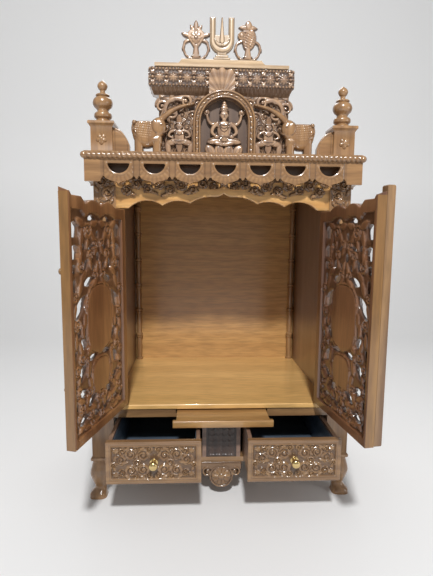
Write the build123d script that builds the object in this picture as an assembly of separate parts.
"""Carved wooden home shrine: a cabinet on short cabriole legs, with two pierced doors, two drawers,
a pull-out tray, a scalloped valance and a carved crown. Millimetres, +Z up, front towards -Y.
The doors stand open and the drawers and tray are pulled out, as the shrine is kept when in use."""
import os
from math import cos, radians, sin

from build123d import *

# Cabinet: half-widths from the middle plane, and depths from the posts' front plane
opening_half = 358
post_width = 72
base_overhang = 26
leg_width = 76
side_wall_set_in = 18
platform_overhang = 4
platform_lip = 5
body_depth = 600
post_depth = 60
leg_depth = 76
back_board = 12
board = 18
side_frame = 55

# Heights of the base and the chamber
leg_ring_bottom = 140
leg_ring_height = 16
leg_ring_out = 5
bottom_board_bottom = 128
drawer_bay_height = 152
rail_height = 29
post_height = 825
cornice_board_height = 26

# The leg's two sawn lines: height, and distance out of or into the stile's outer face
knee_line = ((0, 14), (14, 12), (34, -3), (60, 5), (88, 12), (118, 6), (140, 0))
calf_line = ((140, 76), (118, 72), (88, 64), (60, 52), (34, 45), (14, 45), (0, 48))
leg_cuts = 10

# Doors
leaf_thickness = 28
leaf_edge_gap = 5
leaf_meeting_gap = 7
leaf_bottom_gap = 10
leaf_top_gap = 6
left_open = 104.8
right_open = 98.2
hinge_stile = 30
meeting_stile = 14
bottom_rail = 24
top_rail = 34
panel_thickness = 18
strip_width = 26
strip_thickness = 23
strip_rise = 54
strip_rounding = 5

# The leaf's top line, in heights above its low points: two arches between them, then a step up
# to the meeting edge; distances are from the middle of the shrine
leaf_crest = 14
leaf_shoulder = 19
leaf_peak = 41
leaf_flat = 81
leaf_cusps = (180, 94)
leaf_step = (70, 20)
tip_bevel = 13

# Pierced panel: across from its middle, up from its foot, then length, width and tilt of each leaf
leaf_holes = (
    (84, 522, 24, 13, -30), (40, 520, 34, 13, 75), (70, 470, 40, 18, 20), (30, 462, 30, 14, -35),
    (132, 418, 46, 15, 0), (55, 424, 60, 24, 76), (106, 356, 88, 36, 44), (117, 284, 36, 17, 20),
    (88, 250, 46, 25, -42), (40, 204, 60, 18, 80), (138, 230, 30, 13, 15), (101, 171, 58, 29, 34),
    (138, 146, 26, 12, 0), (98, 111, 52, 22, -65), (52, 79, 50, 23, 58), (137, 84, 28, 13, 0),
    (28, 31, 42, 18, -62), (100, 36, 54, 21, 72), (139, 24, 22, 12, -20),
)
arched_holes = ((128, 548, 38, 42), (128, 490, 40, 38), (134, 452, 22, 24))
middle_holes = ((492, 30, 17), (556, 26, 15))
lobe_hole_width = 48
lobe_hole_height = 17
lobe_hole_drop = 44

# Hinges
hinge_pin_out = 5
hinge_barrel = 4
hinge_leaf = 1.3
hinge_plate = 20
knuckle_length = 18
knuckle_gap = 0.3
hinge_inset = 110

# Pelmet under the ceiling; its wavy lower edge is set out from the middle and from its lowest line
pelmet_thickness = 18
pelmet_inset = 6
pelmet_height = 148
pelmet_flat = 40
pelmet_crest = 26
pelmet_cusps = ((206, 10), (113, 18))
pelmet_shoulder = (30, 41)
pelmet_neck = (9, 46)
pelmet_swell = (70, 38)
pelmet_peak = 52

# Drawers and tray
drawer_gap = 6
drawer_front_thickness = 20
drawer_front_height = 139
drawer_border = 16
drawer_relief = 5
drawer_side = 12
drawer_floor = 8
drawer_side_gap = 10
drawer_side_drop = 4
drawer_depth = 500
drawer_out = 175
runner_height = 10
runner_width = 20
running_gap = 0.3
divider_outer = 68
divider_board = 14
panel_frame = 12
panel_sink = 5
tray_half = 157
tray_board = 12
tray_depth = 330
tray_out = 77
tray_batten_half = 168
tray_batten = 14
tray_batten_height = 23
tray_gap = 5
tray_guide = 12
tray_ledge = 8
rose_radius = 11
rose_height = 3
knob_stem = 5
knob_reach = 34
knob_outline = ((10, 8), (14, 15), (14, 25), (9, 32))

# Apron and rosette under the middle of the base
apron_half = 72
apron_band = 24
apron_board = 16
rosette_drop = 48
rosette_radius = 43
medallion_radius = 35
medallion_relief = 7
rosette_boss = 13
apron_scroll_x = 50
apron_scroll_radius = 22

# Valance and cornice
valance_out = 53
valance_board = 16
valance_end_height = 68
lobe_notch = 46
lobe_tip = 72
moon_count = 7
valance_end = 50.5
moon_top = 11
moon_half = 35
moon_depth = 31
side_moon_count = 5
rope_radius = 11

# Back columns: square foot and head blocks with a turned shaft between
column_radius = 16
column_foot = 96
column_head = 70
column_waist = 10
column_ring = 15
column_vase = 44

# Corner blocks, finials and wings on the deck
block_inset = 28
block_width = 66
block_height = 93
block_set_back = 10
cap_out = 8
cap_height = 12
finial_height = 140
finial_profile = (
    (28, 0), (28, 16), (30, 20), (28, 26), (19, 32), (20, 40), (30, 50), (32, 60), (28, 72), (19, 79),
    (22, 82), (20, 86), (8, 91), (8, 98), (16, 108), (16, 116), (8, 130),
)
wing_board = 22
wing_reach = 56
wing_set_back = 20

# Crown; its frieze and everything above it sit a little to the left
crown_front = 50
crown_offset = -9
pedestal_half = 218
pedestal_height = 201
pedestal_depth = 80
cove_height = 22
frieze_half = 240
frieze_height = 62
frieze_overhang = 20
frieze_rounding = 8
slab_half = 221
slab_height = 12
slab_overhang = 26
step_half = 143
step_height = 21
step_overhang = 14
arch_gap = 7
arch_outer = 105
arch_inner = 78
arch_depth = 28
arch_rim = 6
arch_rim_width = 9
scroll_board = 16
scroll_band = 17

# Figures and emblems, as boards sawn to their outlines
figure_board = 22
attendant_x = 150
elephant_out = 33
elephant_board = 36
trunk_board = 20
emblem_board = 16
emblem_set_back = 10
mark_half = 41
mark_gap = 21
mark_height = 134
mark_bowl = 60
mark_slot = 79
mark_spike = 9
side_emblem_x = 86
emblem_foot = 28

# Sizes and levels that follow
upper_half = opening_half + post_width
base_half = upper_half + base_overhang
side_wall_inner = opening_half + side_wall_set_in
base_opening_half = base_half - leg_width
platform_half = base_half + platform_overhang
cornice_half = upper_half + valance_board
moon_pitch = 2 * (cornice_half - valance_end) / moon_count
block_centre = upper_half - block_inset
elephant_x = pedestal_half + elephant_out
bay_floor = bottom_board_bottom + board
rail_bottom = bay_floor + drawer_bay_height
platform_bottom = rail_bottom + rail_height
floor_level = platform_bottom + board
ceiling_level = floor_level + post_height
deck = ceiling_level + cornice_board_height
door_bottom = floor_level + leaf_bottom_gap
pelmet_low = ceiling_level - pelmet_height
leaf_low = pelmet_low - leaf_top_gap
leaf_flat_end = opening_half - leaf_flat
hinge_heights = (door_bottom + hinge_inset, leaf_low - hinge_inset)
pedestal_top = deck + pedestal_height
frieze_bottom = pedestal_top + cove_height
slab_bottom = frieze_bottom + frieze_height
emblem_level = slab_bottom + slab_height + step_height
emblem_front = crown_front - step_overhang + emblem_set_back

# Hinge pins stand in front of the posts' inner corners
pin_x = opening_half - leaf_edge_gap / 2
leaf_tip = leaf_meeting_gap / 2
leaf_root = opening_half - leaf_edge_gap


def leaf_reach(angle):
    """How far the inner corner of an open leaf's tip stands in front of the posts."""
    turn = radians(angle)
    inner_face = hinge_pin_out + leaf_thickness
    return (pin_x - leaf_tip) * sin(turn) - inner_face * cos(turn) + hinge_pin_out


# The origin lies on the floor, midway between the open doors' tips and the back
front = (max(leaf_reach(left_open), leaf_reach(right_open)) - body_depth) / 2


def block(x0, x1, y0, y1, z0, z1):
    """A rectangular board between two corners, with y counted from the posts' front plane."""
    size = Box(x1 - x0, y1 - y0, z1 - z0)
    return Pos((x0 + x1) / 2, front + (y0 + y1) / 2, (z0 + z1) / 2) * size


def upright(sketch, y0, thickness):
    """A sketch in X and Z, made into a board whose front face is at y0."""
    plane = Plane((0, front + y0 + thickness, 0), x_dir=(1, 0, 0), z_dir=(0, -1, 0))
    return extrude(plane * sketch, thickness)


def sideways(sketch, x0, thickness):
    """A sketch in Y and Z, made into a board whose left face is at x0."""
    plane = Plane((x0, front, 0), x_dir=(0, 1, 0), z_dir=(1, 0, 0))
    return extrude(plane * sketch, thickness)


def mirrored(shape):
    return mirror(shape, about=Plane.YZ)


def pair(shape):
    """A piece and its mirror image on the other side of the middle plane."""
    return Compound(children=[shape, mirrored(shape)])


def turned(profile, low, high):
    """A turned piece on the upright axis: (radius, height) points between two levels."""
    points = [(0, low), *profile, (0, high)]
    return revolve(make_face(Plane.XZ * Polyline(*points, close=True)), Axis.Z)


def rectangle(x0, x1, z0, z1):
    return Pos((x0 + x1) / 2, (z0 + z1) / 2) * Rectangle(x1 - x0, z1 - z0)


def oval(x, z, half_x, half_z, tilt=0, sides=20):
    """An oval sawn in short straight cuts."""
    angles = [360 * index / sides for index in range(sides)]
    points = [(half_x * cos(radians(angle)), half_z * sin(radians(angle))) for angle in angles]
    return Pos(x, z) * (Rot(0, 0, tilt) * Polygon(*points, align=None))


def leaf(x, z, length, width, tilt=0):
    """A pointed leaf shape of short straight cuts, upright before it is tilted."""
    side = [(0, -0.5), (0.34, -0.29), (0.5, 0), (0.34, 0.29), (0, 0.5)]
    points = [(width * across, length * up) for across, up in side]
    points += [(-across, up) for across, up in points[-2:0:-1]]
    return Pos(x, z) * (Rot(0, 0, tilt) * Polygon(*points, align=None))


def arched(x, low, width, height):
    """A small opening with a level sill and a rounded head."""
    half = width / 2
    spring = low + height - half
    return make_face([
        Line((x - half, low), (x + half, low)),
        Line((x + half, low), (x + half, spring)),
        ThreePointArc((x + half, spring), (x, low + height), (x - half, spring)),
        Line((x - half, spring), (x - half, low)),
    ])


def horn(start, end, outer, inner):
    """A curved horn or crescent: two arcs that share their ends."""
    return make_face([ThreePointArc(start, outer, end), ThreePointArc(end, inner, start)])


def curl(x, z, radius, band, start, sweep):
    """A band of even width along part of a circle, with round ends."""
    return SlotArc(CenterArc((x, z), radius, start, sweep), band)


# Base

def sawn_profile(outer, outer_side, bulge):
    """A leg's outline seen from one side, as it is sawn: knee line outside, calf line inside."""
    knee = Spline(*[(outer + outer_side * bulge * out, z) for z, out in knee_line])
    calf = Spline(*[(outer - outer_side * inward, z) for z, inward in calf_line])
    points = [curve @ (step / leg_cuts) for curve in (knee, calf) for step in range(leg_cuts + 1)]
    return make_face(Polyline(*points, close=True))


def leg(y_outer, outward, bulge):
    """The right-hand leg: a foot sawn to the same curve on two faces, a ring and a square stile.
    outward is the direction in y that the leg's outer face looks, and bulge how much it swells."""
    front_view = sawn_profile(base_half, 1, 1)
    side_view = sawn_profile(y_outer, outward, bulge)
    reach = leg_depth * 2
    across = upright(front_view, y_outer - reach, 2 * reach)
    along = sideways(side_view, base_half - reach, 2 * reach)
    foot = across & along
    inner_y = y_outer - outward * leg_depth
    ring_top = leg_ring_bottom + leg_ring_height
    ring_y = sorted((y_outer + outward * bulge * leg_ring_out, inner_y))
    ring = block(base_opening_half, base_half + leg_ring_out, *ring_y, leg_ring_bottom, ring_top)
    stile = block(base_opening_half, base_half, *sorted((y_outer, inner_y)), ring_top, platform_bottom)
    return foot + ring + stile


def base_sides():
    """The side boards of the base, let in between the front and back legs."""
    return pair(block(base_half - 8 - board, base_half - 8, leg_depth, body_depth - leg_depth,
                      leg_ring_bottom + leg_ring_height, platform_bottom))


def base_back():
    return block(-base_opening_half, base_opening_half, body_depth - board, body_depth,
                 bay_floor, platform_bottom)


def bottom_board():
    """The board under the drawers, between the legs; its front edge is the ledge in the middle."""
    return block(-base_opening_half, base_opening_half, 0, body_depth, bottom_board_bottom, bay_floor)


def front_rail():
    """The rail under the platform, notched at its top where the tray slides through."""
    rail = block(-base_opening_half, base_opening_half, 0, board, rail_bottom, platform_bottom)
    slot_half = tray_half + tray_gap
    slot_bottom = tray_top() - tray_board - tray_gap
    return rail - block(-slot_half, slot_half, 0, board, slot_bottom, platform_bottom)


def platform():
    """The floor of the shrine, laid over the base, with a rounded lip at the front."""
    slab = block(-platform_half, platform_half, -platform_lip, body_depth, platform_bottom, floor_level)
    return fillet(slab.edges().filter_by(Axis.X).sort_by(Axis.Y)[:2], platform_lip - 1)


def dividers():
    """The two upright boards between the drawers."""
    return pair(block(divider_outer - divider_board, divider_outer, 0, body_depth - board,
                      bay_floor, rail_bottom))


def centre_panel():
    """The framed panel between the drawers, its field sunk inside a frame of its own."""
    half = divider_outer - divider_board
    panel = block(-half, half, 2, 2 + board, bay_floor, rail_bottom)
    return panel - block(panel_frame - half, half - panel_frame, 2, 2 + panel_sink,
                         bay_floor + panel_frame, rail_bottom - panel_frame)


def rosette_apron():
    """The apron under the middle ledge: a band, a round rosette and a scroll at each side."""
    top = bottom_board_bottom
    centre = top - rosette_drop
    plate = rectangle(-apron_half, apron_half, top - apron_band, top)
    plate += Pos(0, centre) * Circle(rosette_radius)
    for side in (-1, 1):
        plate += Pos(side * apron_scroll_x, top - apron_band - 8) * Circle(apron_scroll_radius)
    medallion = upright(Pos(0, centre) * Circle(medallion_radius), -medallion_relief, medallion_relief)
    boss_front = -2 * medallion_relief
    boss = upright(Pos(0, centre) * Circle(rosette_boss), boss_front, medallion_relief)
    return upright(plate, 0, apron_board) + medallion + boss


# Drawers, each inset between a leg and a divider

def drawer_centre():
    return (divider_outer + base_opening_half) / 2


def drawer_half(gap):
    return (base_opening_half - divider_outer) / 2 - gap


def drawer_low():
    return bay_floor + drawer_gap


def drawer_front(side):
    """The drawer's front board, with a raised border round its carved field."""
    middle = side * drawer_centre()
    half = drawer_half(drawer_gap)
    low = drawer_low()
    high = low + drawer_front_height
    y0 = -drawer_out
    plate = block(middle - half, middle + half, y0, y0 + drawer_front_thickness, low, high)
    half -= drawer_border
    return plate - block(middle - half, middle + half, y0, y0 + drawer_relief,
                         low + drawer_border, high - drawer_border)


def drawer_box(side):
    """Sides, back and bottom of the drawer, behind its front."""
    middle = side * drawer_centre()
    half = drawer_half(drawer_side_gap)
    y0 = drawer_front_thickness - drawer_out
    y1 = y0 + drawer_depth
    low = bay_floor + runner_height + running_gap
    high = drawer_low() + drawer_front_height - drawer_side_drop
    outer = block(middle - half, middle + half, y0, y1, low, high)
    half -= drawer_side
    return outer - block(middle - half, middle + half, y0, y1 - drawer_side, low + drawer_floor, high)


def drawer_knob(side):
    """A turned brass knob on a round rose, in the middle of the carved field."""
    field = drawer_relief - drawer_out
    z = drawer_low() + drawer_front_height / 2
    profile = [(rose_radius, 0), (rose_radius, rose_height), (knob_stem, rose_height), *knob_outline]
    knob = turned(profile, 0, knob_reach)
    return Pos(side * drawer_centre(), front + field, z) * (Rot(90, 0, 0) * knob)


def drawer_runners():
    """Four runner strips under the drawer sides, glued to the bottom board."""
    strips = []
    for side in (-1, 1):
        for edge in (-1, 1):
            outer = side * drawer_centre() + edge * drawer_half(drawer_side_gap)
            x0, x1 = sorted((outer, outer - edge * runner_width))
            strips.append(block(x0, x1, drawer_front_thickness + drawer_gap, body_depth - board,
                                bay_floor, bay_floor + runner_height))
    return Compound(children=strips)


# Tray, sliding between two angle strips under the platform

def tray_top():
    return platform_bottom - tray_gap


def tray_shelf():
    y0 = -tray_gap - tray_out
    return block(-tray_half, tray_half, y0, y0 + tray_depth, tray_top() - tray_board, tray_top())


def tray_front():
    """The batten across the tray's front edge, wider and deeper than the board."""
    y1 = -tray_gap - tray_out
    batten = block(-tray_batten_half, tray_batten_half, y1 - tray_batten, y1,
                   tray_top() - tray_batten_height, tray_top())
    return fillet(batten.edges().filter_by(Axis.X).sort_by(Axis.Y)[:2], 2)


def tray_guides():
    """Two angle strips under the platform that carry the tray's edges."""
    inner = tray_half + tray_gap
    ledge_top = tray_top() - tray_board - running_gap
    y0 = board
    y1 = body_depth - board
    wall = block(inner, inner + tray_guide, y0, y1, ledge_top - tray_ledge, platform_bottom)
    ledge = block(inner - tray_guide, inner, y0, y1, ledge_top - tray_ledge, ledge_top)
    return pair(wall + ledge)


# Upper cabinet

def post(inner, y0):
    return block(inner, upper_half, y0, y0 + post_depth, floor_level, ceiling_level)


def back_columns():
    """Turned columns in the back corners of the shrine, each with a square foot and head block."""
    r = column_radius
    x = side_wall_inner - r - 1
    y = body_depth - back_board - r
    low = floor_level + column_foot
    high = ceiling_level - column_head
    foot = block(x - r, x + r, y - r, y + r, floor_level, low)
    head = block(x - r, x + r, y - r, y + r, high, ceiling_level)
    vase = low + column_vase
    profile = [(column_ring, low), (column_ring, low + 12), (column_waist, low + 14),
               (column_ring - 1, vase - 8), (column_waist, vase + 12), (column_waist + 3, vase + 20),
               (column_waist, high - 12), (column_ring, high)]
    shaft = Pos(x, front + y, 0) * turned(profile, low, high)
    return pair(foot + shaft + head)


def side_panels():
    """The cabinet's side walls between the posts: a board with a frame planted on its outside."""
    y0 = post_depth
    y1 = body_depth - post_depth
    x0 = side_wall_inner
    x1 = side_wall_inner + board
    x2 = x1 + board
    wall = block(x0, x1, y0, y1, floor_level, ceiling_level)
    frame = block(x1, x2, y0, y1, floor_level, ceiling_level)
    frame -= block(x1, x2, y0 + side_frame, y1 - side_frame,
                   floor_level + side_frame, ceiling_level - valance_end_height - side_frame)
    return pair(wall + frame)


def back_panel():
    return block(-side_wall_inner, side_wall_inner, body_depth - back_board, body_depth,
                 floor_level, ceiling_level)


def pelmet():
    """The board across the top of the opening, between the posts. The right half of its lower
    edge runs from the post to the middle: a flat, two arches and a rise to a point."""
    low = pelmet_low
    crest = low + pelmet_crest
    start = (opening_half, low)
    flat_end = (opening_half - pelmet_flat, low)
    (x1, rise1), (x2, rise2) = pelmet_cusps
    first = (x1, low + rise1)
    second = (x2, low + rise2)
    shoulder = (pelmet_shoulder[0], low + pelmet_shoulder[1])
    peak = (0, low + pelmet_peak)
    half = make_face([
        Line(start, flat_end),
        ThreePointArc(flat_end, ((flat_end[0] + x1) / 2, crest), first),
        ThreePointArc(first, ((x1 + x2) / 2, crest), second),
        ThreePointArc(second, (pelmet_swell[0], low + pelmet_swell[1]), shoulder),
        ThreePointArc(shoulder, (pelmet_neck[0], low + pelmet_neck[1]), peak),
        Line(peak, (0, ceiling_level)),
        Line((0, ceiling_level), (opening_half, ceiling_level)),
        Line((opening_half, ceiling_level), start),
    ])
    return upright(half + mirror(half, about=Plane.YZ), pelmet_inset, pelmet_thickness)


# Cornice

def cornice_board():
    """The deck over the cabinet, on which the crown stands."""
    return block(-cornice_half, cornice_half, -valance_out, body_depth, ceiling_level, deck)


def rope_moulding():
    """The round moulding along the front and sides of the cornice, seated on the board's edge."""
    z = ceiling_level + cornice_board_height / 2
    near = front - valance_out
    far = front + body_depth
    path = Polyline((-cornice_half, far, z), (-cornice_half, near, z),
                    (cornice_half, near, z), (cornice_half, far, z))
    section = Plane(origin=path @ 0, z_dir=path % 0) * Circle(rope_radius)
    return sweep(section, path=path, transition=Transition.RIGHT) - cornice_board()


def scallops(count, pitch):
    """A row of half-moon openings, each over a hanging pointed lobe."""
    low = ceiling_level - lobe_notch
    sheet = rectangle(-count * pitch / 2, count * pitch / 2, low, ceiling_level)
    for index in range(count):
        x = (index - (count - 1) / 2) * pitch
        tip = (x, ceiling_level - lobe_tip)
        left = (x - pitch * 0.46, low)
        right = (x + pitch * 0.46, low)
        sheet += make_face([
            Line(left, right),
            ThreePointArc(right, (x + pitch * 0.26, low - (lobe_tip - lobe_notch) * 0.66), tip),
            ThreePointArc(tip, (x - pitch * 0.26, low - (lobe_tip - lobe_notch) * 0.66), left),
        ])
        top = ceiling_level - moon_top
        sheet -= make_face([
            Line((x - moon_half, top), (x + moon_half, top)),
            ThreePointArc((x + moon_half, top), (x, top - moon_depth), (x - moon_half, top)),
        ])
    return sheet


def valance_front():
    """The front valance, with a plain block at each end of its scallops."""
    sheet = scallops(moon_count, moon_pitch)
    end = moon_count * moon_pitch / 2
    for side in (-1, 1):
        x0, x1 = sorted((side * end, side * cornice_half))
        sheet += rectangle(x0, x1, ceiling_level - valance_end_height, ceiling_level)
    return upright(sheet, -valance_out, valance_board)


def valance_sides():
    """The same valance along each side of the cabinet, fixed to the posts."""
    start = valance_board - valance_out
    length = body_depth - start
    sheet = Pos(start + length / 2, 0) * scallops(side_moon_count, length / side_moon_count)
    return pair(sideways(sheet, cornice_half - valance_board, valance_board))


# Crown

def corner_finials():
    """A square block with a cap and a turned finial at each front corner."""
    x = block_centre
    half = block_width / 2
    y = block_set_back + half
    top = deck + block_height
    base = block(x - half, x + half, y - half, y + half, deck, top)
    half += cap_out
    cap = block(x - half, x + half, y - half, y + half, top, top + cap_height)
    finial = Pos(x, front + y, top + cap_height) * turned(finial_profile, 0, finial_height)
    return pair(base + cap + finial)


def wing_brackets():
    """Boards that curve down and inwards from the corner blocks."""
    outer = block_centre - block_width / 2
    inner = outer - wing_reach
    high = deck + block_height - 6
    low = deck + block_height / 3
    outline = make_face([
        Line((outer, deck), (outer, high)),
        ThreePointArc((outer, high), (outer - wing_reach * 0.68, high - 22), (inner, low)),
        Line((inner, low), (inner, deck)),
        Line((inner, deck), (outer, deck)),
    ])
    return pair(upright(outline, wing_set_back, wing_board))


def crown_pedestal():
    """The block behind the niche that carries the frieze."""
    return block(-pedestal_half, pedestal_half, crown_front, crown_front + pedestal_depth,
                 deck, pedestal_top)


def crown_frieze():
    """The overhanging frieze on a sloped cove."""
    brow = frieze_half - 4
    left = -pedestal_half - crown_offset
    right = pedestal_half - crown_offset
    cove = Polygon((left, pedestal_top), (right, pedestal_top),
                   (brow, frieze_bottom), (-brow, frieze_bottom), align=None)
    band = block(-frieze_half, frieze_half, crown_front - frieze_overhang,
                 crown_front + pedestal_depth + frieze_overhang, frieze_bottom, slab_bottom)
    band = fillet(band.edges().filter_by(Axis.Y), frieze_rounding)
    return upright(cove, crown_front, pedestal_depth) + band


def crown_steps():
    """The plain slab over the frieze and the smaller one that carries the emblems."""
    y0 = crown_front
    y1 = crown_front + pedestal_depth
    slab_top = slab_bottom + slab_height
    slab = block(-slab_half, slab_half, y0 - slab_overhang, y1 + slab_overhang, slab_bottom, slab_top)
    step = block(-step_half, step_half, y0 - step_overhang, y1 + step_overhang, slab_top, emblem_level)
    return slab + step


def round_headed(half):
    """A round-headed sheet that stands on the deck, with its top under the frieze."""
    centre = frieze_bottom - arch_gap - arch_outer
    return Pos(0, centre) * Circle(half) + rectangle(-half, half, deck, centre)


def niche_arch():
    """The round-headed arch in front of the pedestal, with a raised rim inside and outside."""
    ring = upright(round_headed(arch_outer) - round_headed(arch_inner), crown_front - arch_depth, arch_depth)
    outer_rim = round_headed(arch_outer) - round_headed(arch_outer - arch_rim_width)
    inner_rim = round_headed(arch_inner + arch_rim_width) - round_headed(arch_inner)
    rims = upright(outer_rim + inner_rim, crown_front - arch_depth - arch_rim, arch_rim)
    return ring + rims


def scroll_brackets():
    """Scrolled brackets at the shoulders of the arch: a curl with a swept tail."""
    z = pedestal_top
    shape = curl(128, z - 22, 20, scroll_band, 60, 250)
    shape += curl(162, z - 58, 56, scroll_band, 40, 70)
    shape += curl(210, z - 40, 16, scroll_band - 4, 130, -200)
    return pair(upright(shape, crown_front - scroll_board, scroll_board))


def elephants():
    """An elephant at each side, facing the niche with its trunk raised."""
    x = elephant_x
    body = oval(x + 9, deck + 76, 44, 44) + oval(x - 33, deck + 94, 27, 34)
    body += rectangle(x - 45, x + 45, deck + 36, deck + 72)
    for leg_x in (x - 30, x + 30):
        body += rectangle(leg_x - 15, leg_x + 15, deck, deck + 40)
    swept = (-15, 84), (-7, 108), (-55, 146), (-101, 167), (-147, 176), (-153, 166), (-105, 148), (-65, 118)
    trunk = Polygon(*[(x + out, deck + up) for out, up in swept], align=None)
    y0 = crown_front - elephant_board
    return pair(upright(body, y0, elephant_board) + upright(trunk, y0, trunk_board))


def attendant_figures():
    """A crowned attendant at each side of the arch, standing with both knees bent outwards."""
    x = attendant_x
    shape = rectangle(x - 38, x + 38, deck, deck + 10)
    shape += oval(x, deck + 66, 16, 26) + oval(x, deck + 99, 11, 13) + leaf(x, deck + 119, 36, 18)
    for side in (-1, 1):
        shape += oval(x + side * 16, deck + 48, 22, 10, side * -16)
        shape += oval(x + side * 28, deck + 26, 9, 24, side * -6)
        shape += oval(x + side * 20, deck + 73, 8, 19, side * 34)
    return pair(upright(shape, crown_front - figure_board, figure_board))


def seated_figure():
    """The crowned figure with four arms, seated cross-legged on a lotus in the niche."""
    lotus = rectangle(-54, 54, deck, deck + 14)
    for x in (-42, -14, 14, 42):
        lotus += leaf(x, deck + 24, 44, 32, -x * 0.7)
    seat = oval(0, deck + 56, 50, 17) + oval(0, deck + 92, 22, 34)
    for side in (-1, 1):
        seat += oval(side * 28, deck + 84, 9, 28, side * 30)
        seat += oval(side * 42, deck + 118, 9, 30, side * -38)
    head = oval(0, deck + 137, 13, 16) + leaf(0, deck + 163, 44, 28)
    return upright(lotus + seat + head, crown_front - figure_board, figure_board)


# Emblems on the top step

def upright_mark():
    """The tall U on a small foot, its bowl filled and a spike standing between its arms."""
    low = emblem_level
    bowl = low + mark_bowl
    slot = low + mark_slot
    top = low + mark_height
    shape = Pos(0, bowl) * Circle(mark_half) + rectangle(-mark_half, mark_half, bowl, top)
    shape += rectangle(-emblem_foot, emblem_foot, low, bowl - mark_half + 8)
    shape -= rectangle(-mark_gap, mark_gap, slot, top)
    shape += Polygon((-mark_spike, slot - 8), (mark_spike, slot - 8), (0, top - 2), align=None)
    return upright(shape, emblem_front, emblem_board)


def emblem_stand(x):
    """A spreading foot with a ribbon flaring at each side."""
    low = emblem_level
    stand = Polygon((x - 14, low), (x + 14, low), (x + 6, low + 48), (x - 6, low + 48), align=None)
    for side in (-1, 1):
        outer = (x + side * 44, low + 34)
        inner = (x + side * 34, low + 32)
        stand += horn((x + side * 20, low + 62), (x + side * 22, low + 2), outer, inner)
    return stand + rectangle(x - 27, x + 27, low, low + 6)


def disc_emblem():
    """The flaming disc on its stand, at the left of the mark."""
    x = -side_emblem_x
    z = emblem_level + 66
    shape = emblem_stand(x) + Pos(x, z) * Circle(30) + leaf(x, z + 32, 50, 34)
    flame = Polygon((-10, 24), (10, 24), (0, 46), align=None)
    for tilt in (-72, 72):
        shape += Pos(x, z) * (Rot(0, 0, tilt) * flame)
    return upright(shape, emblem_front, emblem_board)


def conch_emblem():
    """The conch on its stand, at the right of the mark, with a flame over its mouth."""
    x = side_emblem_x
    z = emblem_level + 64
    shape = emblem_stand(x) + oval(x + 4, z, 23, 34, -14)
    shape += oval(x - 21, z + 12, 15, 14)
    shape += leaf(x, z + 37, 44, 52)
    return upright(shape, emblem_front, emblem_board)


# Doors, drawn closed on the right-hand side and then swung open

def leaf_sheet(drop, low, tip, root):
    """The closed leaf's face between a level line and its wavy top line, lowered by drop."""
    z = leaf_low - drop
    crest = z + leaf_crest
    shoulder = z + leaf_shoulder
    outer, inner = leaf_cusps
    sheet = make_face([
        Line((opening_half, z), (leaf_flat_end, z)),
        ThreePointArc((leaf_flat_end, z), ((leaf_flat_end + outer) / 2, crest), (outer, z)),
        ThreePointArc((outer, z), ((outer + inner) / 2, crest), (inner, z)),
        Line((inner, z), (leaf_step[0], shoulder)),
        Line((leaf_step[0], shoulder), (leaf_step[1], shoulder)),
        Line((leaf_step[1], shoulder), (leaf_tip, z + leaf_peak)),
        Line((leaf_tip, z + leaf_peak), (leaf_tip, low)),
        Line((leaf_tip, low), (opening_half, low)),
        Line((opening_half, low), (opening_half, z)),
    ])
    return sheet & rectangle(tip, root, low, z + leaf_peak)


def leaf_window():
    """The opening in the leaf's frame that holds the pierced panel, under a wavy top rail."""
    return leaf_sheet(top_rail, door_bottom + bottom_rail, leaf_tip + meeting_stile,
                      leaf_root - hinge_stile)


def leaf_frame():
    """The leaf's frame; the raised end of its top is planed down towards the inner face."""
    frame = upright(leaf_sheet(0, door_bottom, leaf_tip, leaf_root) - leaf_window(), 0, leaf_thickness)
    top = leaf_low + leaf_peak
    planed = Polygon((0, top), (leaf_thickness, top), (leaf_thickness, top - tip_bevel), align=None)
    return frame - sideways(planed, 0, leaf_step[1])


def lobe_holes():
    """A low half-round opening under each lobe of the leaf's top."""
    z = leaf_low - lobe_hole_drop
    marks = (leaf_flat_end, *leaf_cusps)
    holes = []
    for outer, inner in zip(marks[:-1], marks[1:]):
        x = (outer + inner) / 2
        ends = ((x - lobe_hole_width / 2, z), (x + lobe_hole_width / 2, z))
        holes.append(make_face([
            ThreePointArc(ends[0], (x, z + lobe_hole_height), ends[1]),
            ThreePointArc(ends[1], (x, z + 3), ends[0]),
        ]))
    return holes


def leaf_panel():
    """The pierced panel: rows of arched openings beside leaves, and leaf-shaped openings that
    follow curling stems round two plain fields."""
    panel = leaf_window()
    middle = (leaf_tip + meeting_stile + leaf_root - hinge_stile) / 2
    foot = door_bottom + bottom_rail
    openings = lobe_holes()
    openings += [leaf(middle, foot + up, length, width) for up, length, width in middle_holes]
    for side in (-1, 1):
        for across, up, length, width, tilt in leaf_holes:
            openings.append(leaf(middle + side * across, foot + up, length, width, side * tilt))
        for across, up, width, height in arched_holes:
            openings.append(arched(middle + side * across, foot + up, width, height))
    y0 = (leaf_thickness - panel_thickness) / 2
    return upright(panel - openings, y0, panel_thickness)


def cover_strip():
    """The rounded strip down the outside of the right leaf's meeting edge."""
    strip = block(leaf_tip, leaf_tip + strip_width, -strip_thickness, 0,
                  door_bottom, leaf_low + strip_rise)
    return fillet(strip.edges().filter_by(Axis.Z).sort_by(Axis.Y)[:2], strip_rounding)


def hinge(knuckles, plate_x):
    """Barrel pieces on the pin's axis with their flat leaf, for each hinge height."""
    pieces = []
    for middle in hinge_heights:
        for step in knuckles:
            z0 = middle + (step - 0.5) * knuckle_length + knuckle_gap / 2
            z1 = z0 + knuckle_length - knuckle_gap
            barrel = Pos(pin_x, front - hinge_pin_out, (z0 + z1) / 2) * Cylinder(hinge_barrel, z1 - z0)
            plate = block(plate_x, plate_x + hinge_leaf, 1 - hinge_pin_out, hinge_plate, z0, z1)
            pieces.append(barrel + plate)
    return pieces


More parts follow.
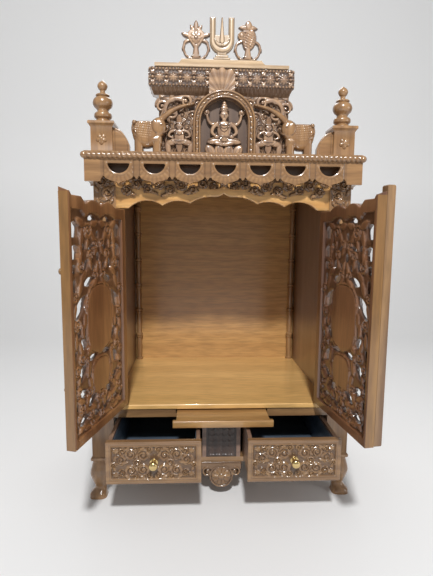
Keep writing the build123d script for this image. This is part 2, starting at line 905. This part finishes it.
def hinge_post_leaves():
    """The hinge halves that are screwed to the posts."""
    pieces = hinge((-1, 1), opening_half - hinge_leaf)
    return Compound(children=pieces + [mirrored(piece) for piece in pieces])


def hinge_door_leaves():
    return Compound(children=hinge((0,), leaf_root))


def swing(shape, side, angle):
    """Opens a closed right-hand door piece by an angle, on the right or mirrored to the left."""
    pin = Axis((pin_x, front - hinge_pin_out, 0), (0, 0, 1))
    opened = shape.rotate(pin, angle)
    return opened if side > 0 else mirrored(opened)


def cabinet_pieces():
    return {
        "front_legs": pair(leg(0, -1, 1)),
        "back_legs": pair(leg(body_depth, 1, 0)),
        "base_sides": base_sides(),
        "base_back": base_back(),
        "bottom_board": bottom_board(),
        "front_rail": front_rail(),
        "platform": platform(),
        "dividers": dividers(),
        "centre_panel": centre_panel(),
        "rosette_apron": rosette_apron(),
        "drawer_runners": drawer_runners(),
        "tray_guides": tray_guides(),
        "front_posts": pair(post(opening_half, 0)),
        "back_posts": pair(post(side_wall_inner, body_depth - post_depth)),
        "back_columns": back_columns(),
        "side_panels": side_panels(),
        "back_panel": back_panel(),
        "pelmet": pelmet(),
        "cornice_board": cornice_board(),
        "rope_moulding": rope_moulding(),
        "valance_front": valance_front(),
        "valance_sides": valance_sides(),
        "hinge_post_leaves": hinge_post_leaves(),
    }


def crown_pieces():
    return {
        "corner_finials": corner_finials(),
        "wing_brackets": wing_brackets(),
        "crown_pedestal": crown_pedestal(),
        "niche_arch": niche_arch(),
        "scroll_brackets": scroll_brackets(),
        "elephants": elephants(),
        "attendant_figures": attendant_figures(),
        "seated_figure": seated_figure(),
    }


def upper_crown_pieces():
    pieces = {
        "crown_frieze": crown_frieze(),
        "crown_steps": crown_steps(),
        "upright_mark": upright_mark(),
        "disc_emblem": disc_emblem(),
        "conch_emblem": conch_emblem(),
    }
    return {name: Pos(crown_offset, 0, 0) * piece for name, piece in pieces.items()}


def moving_pieces():
    pieces = {"tray_board": tray_shelf(), "tray_batten": tray_front()}
    for name, side, angle in (("left", -1, left_open), ("right", 1, right_open)):
        pieces[f"drawer_{name}_front"] = drawer_front(side)
        pieces[f"drawer_{name}_box"] = drawer_box(side)
        pieces[f"drawer_{name}_knob"] = drawer_knob(side)
        pieces[f"door_{name}_frame"] = swing(leaf_frame(), side, angle)
        pieces[f"door_{name}_panel"] = swing(leaf_panel(), side, angle)
        pieces[f"door_{name}_hinges"] = swing(hinge_door_leaves(), side, angle)
    pieces["door_right_cover_strip"] = swing(cover_strip(), 1, right_open)
    return pieces


os.makedirs("parts", exist_ok=True)
nodes = {**cabinet_pieces(), **crown_pieces(), **upper_crown_pieces(), **moving_pieces()}
for name, piece in nodes.items():
    export_step(piece, f"parts/{name}.step")
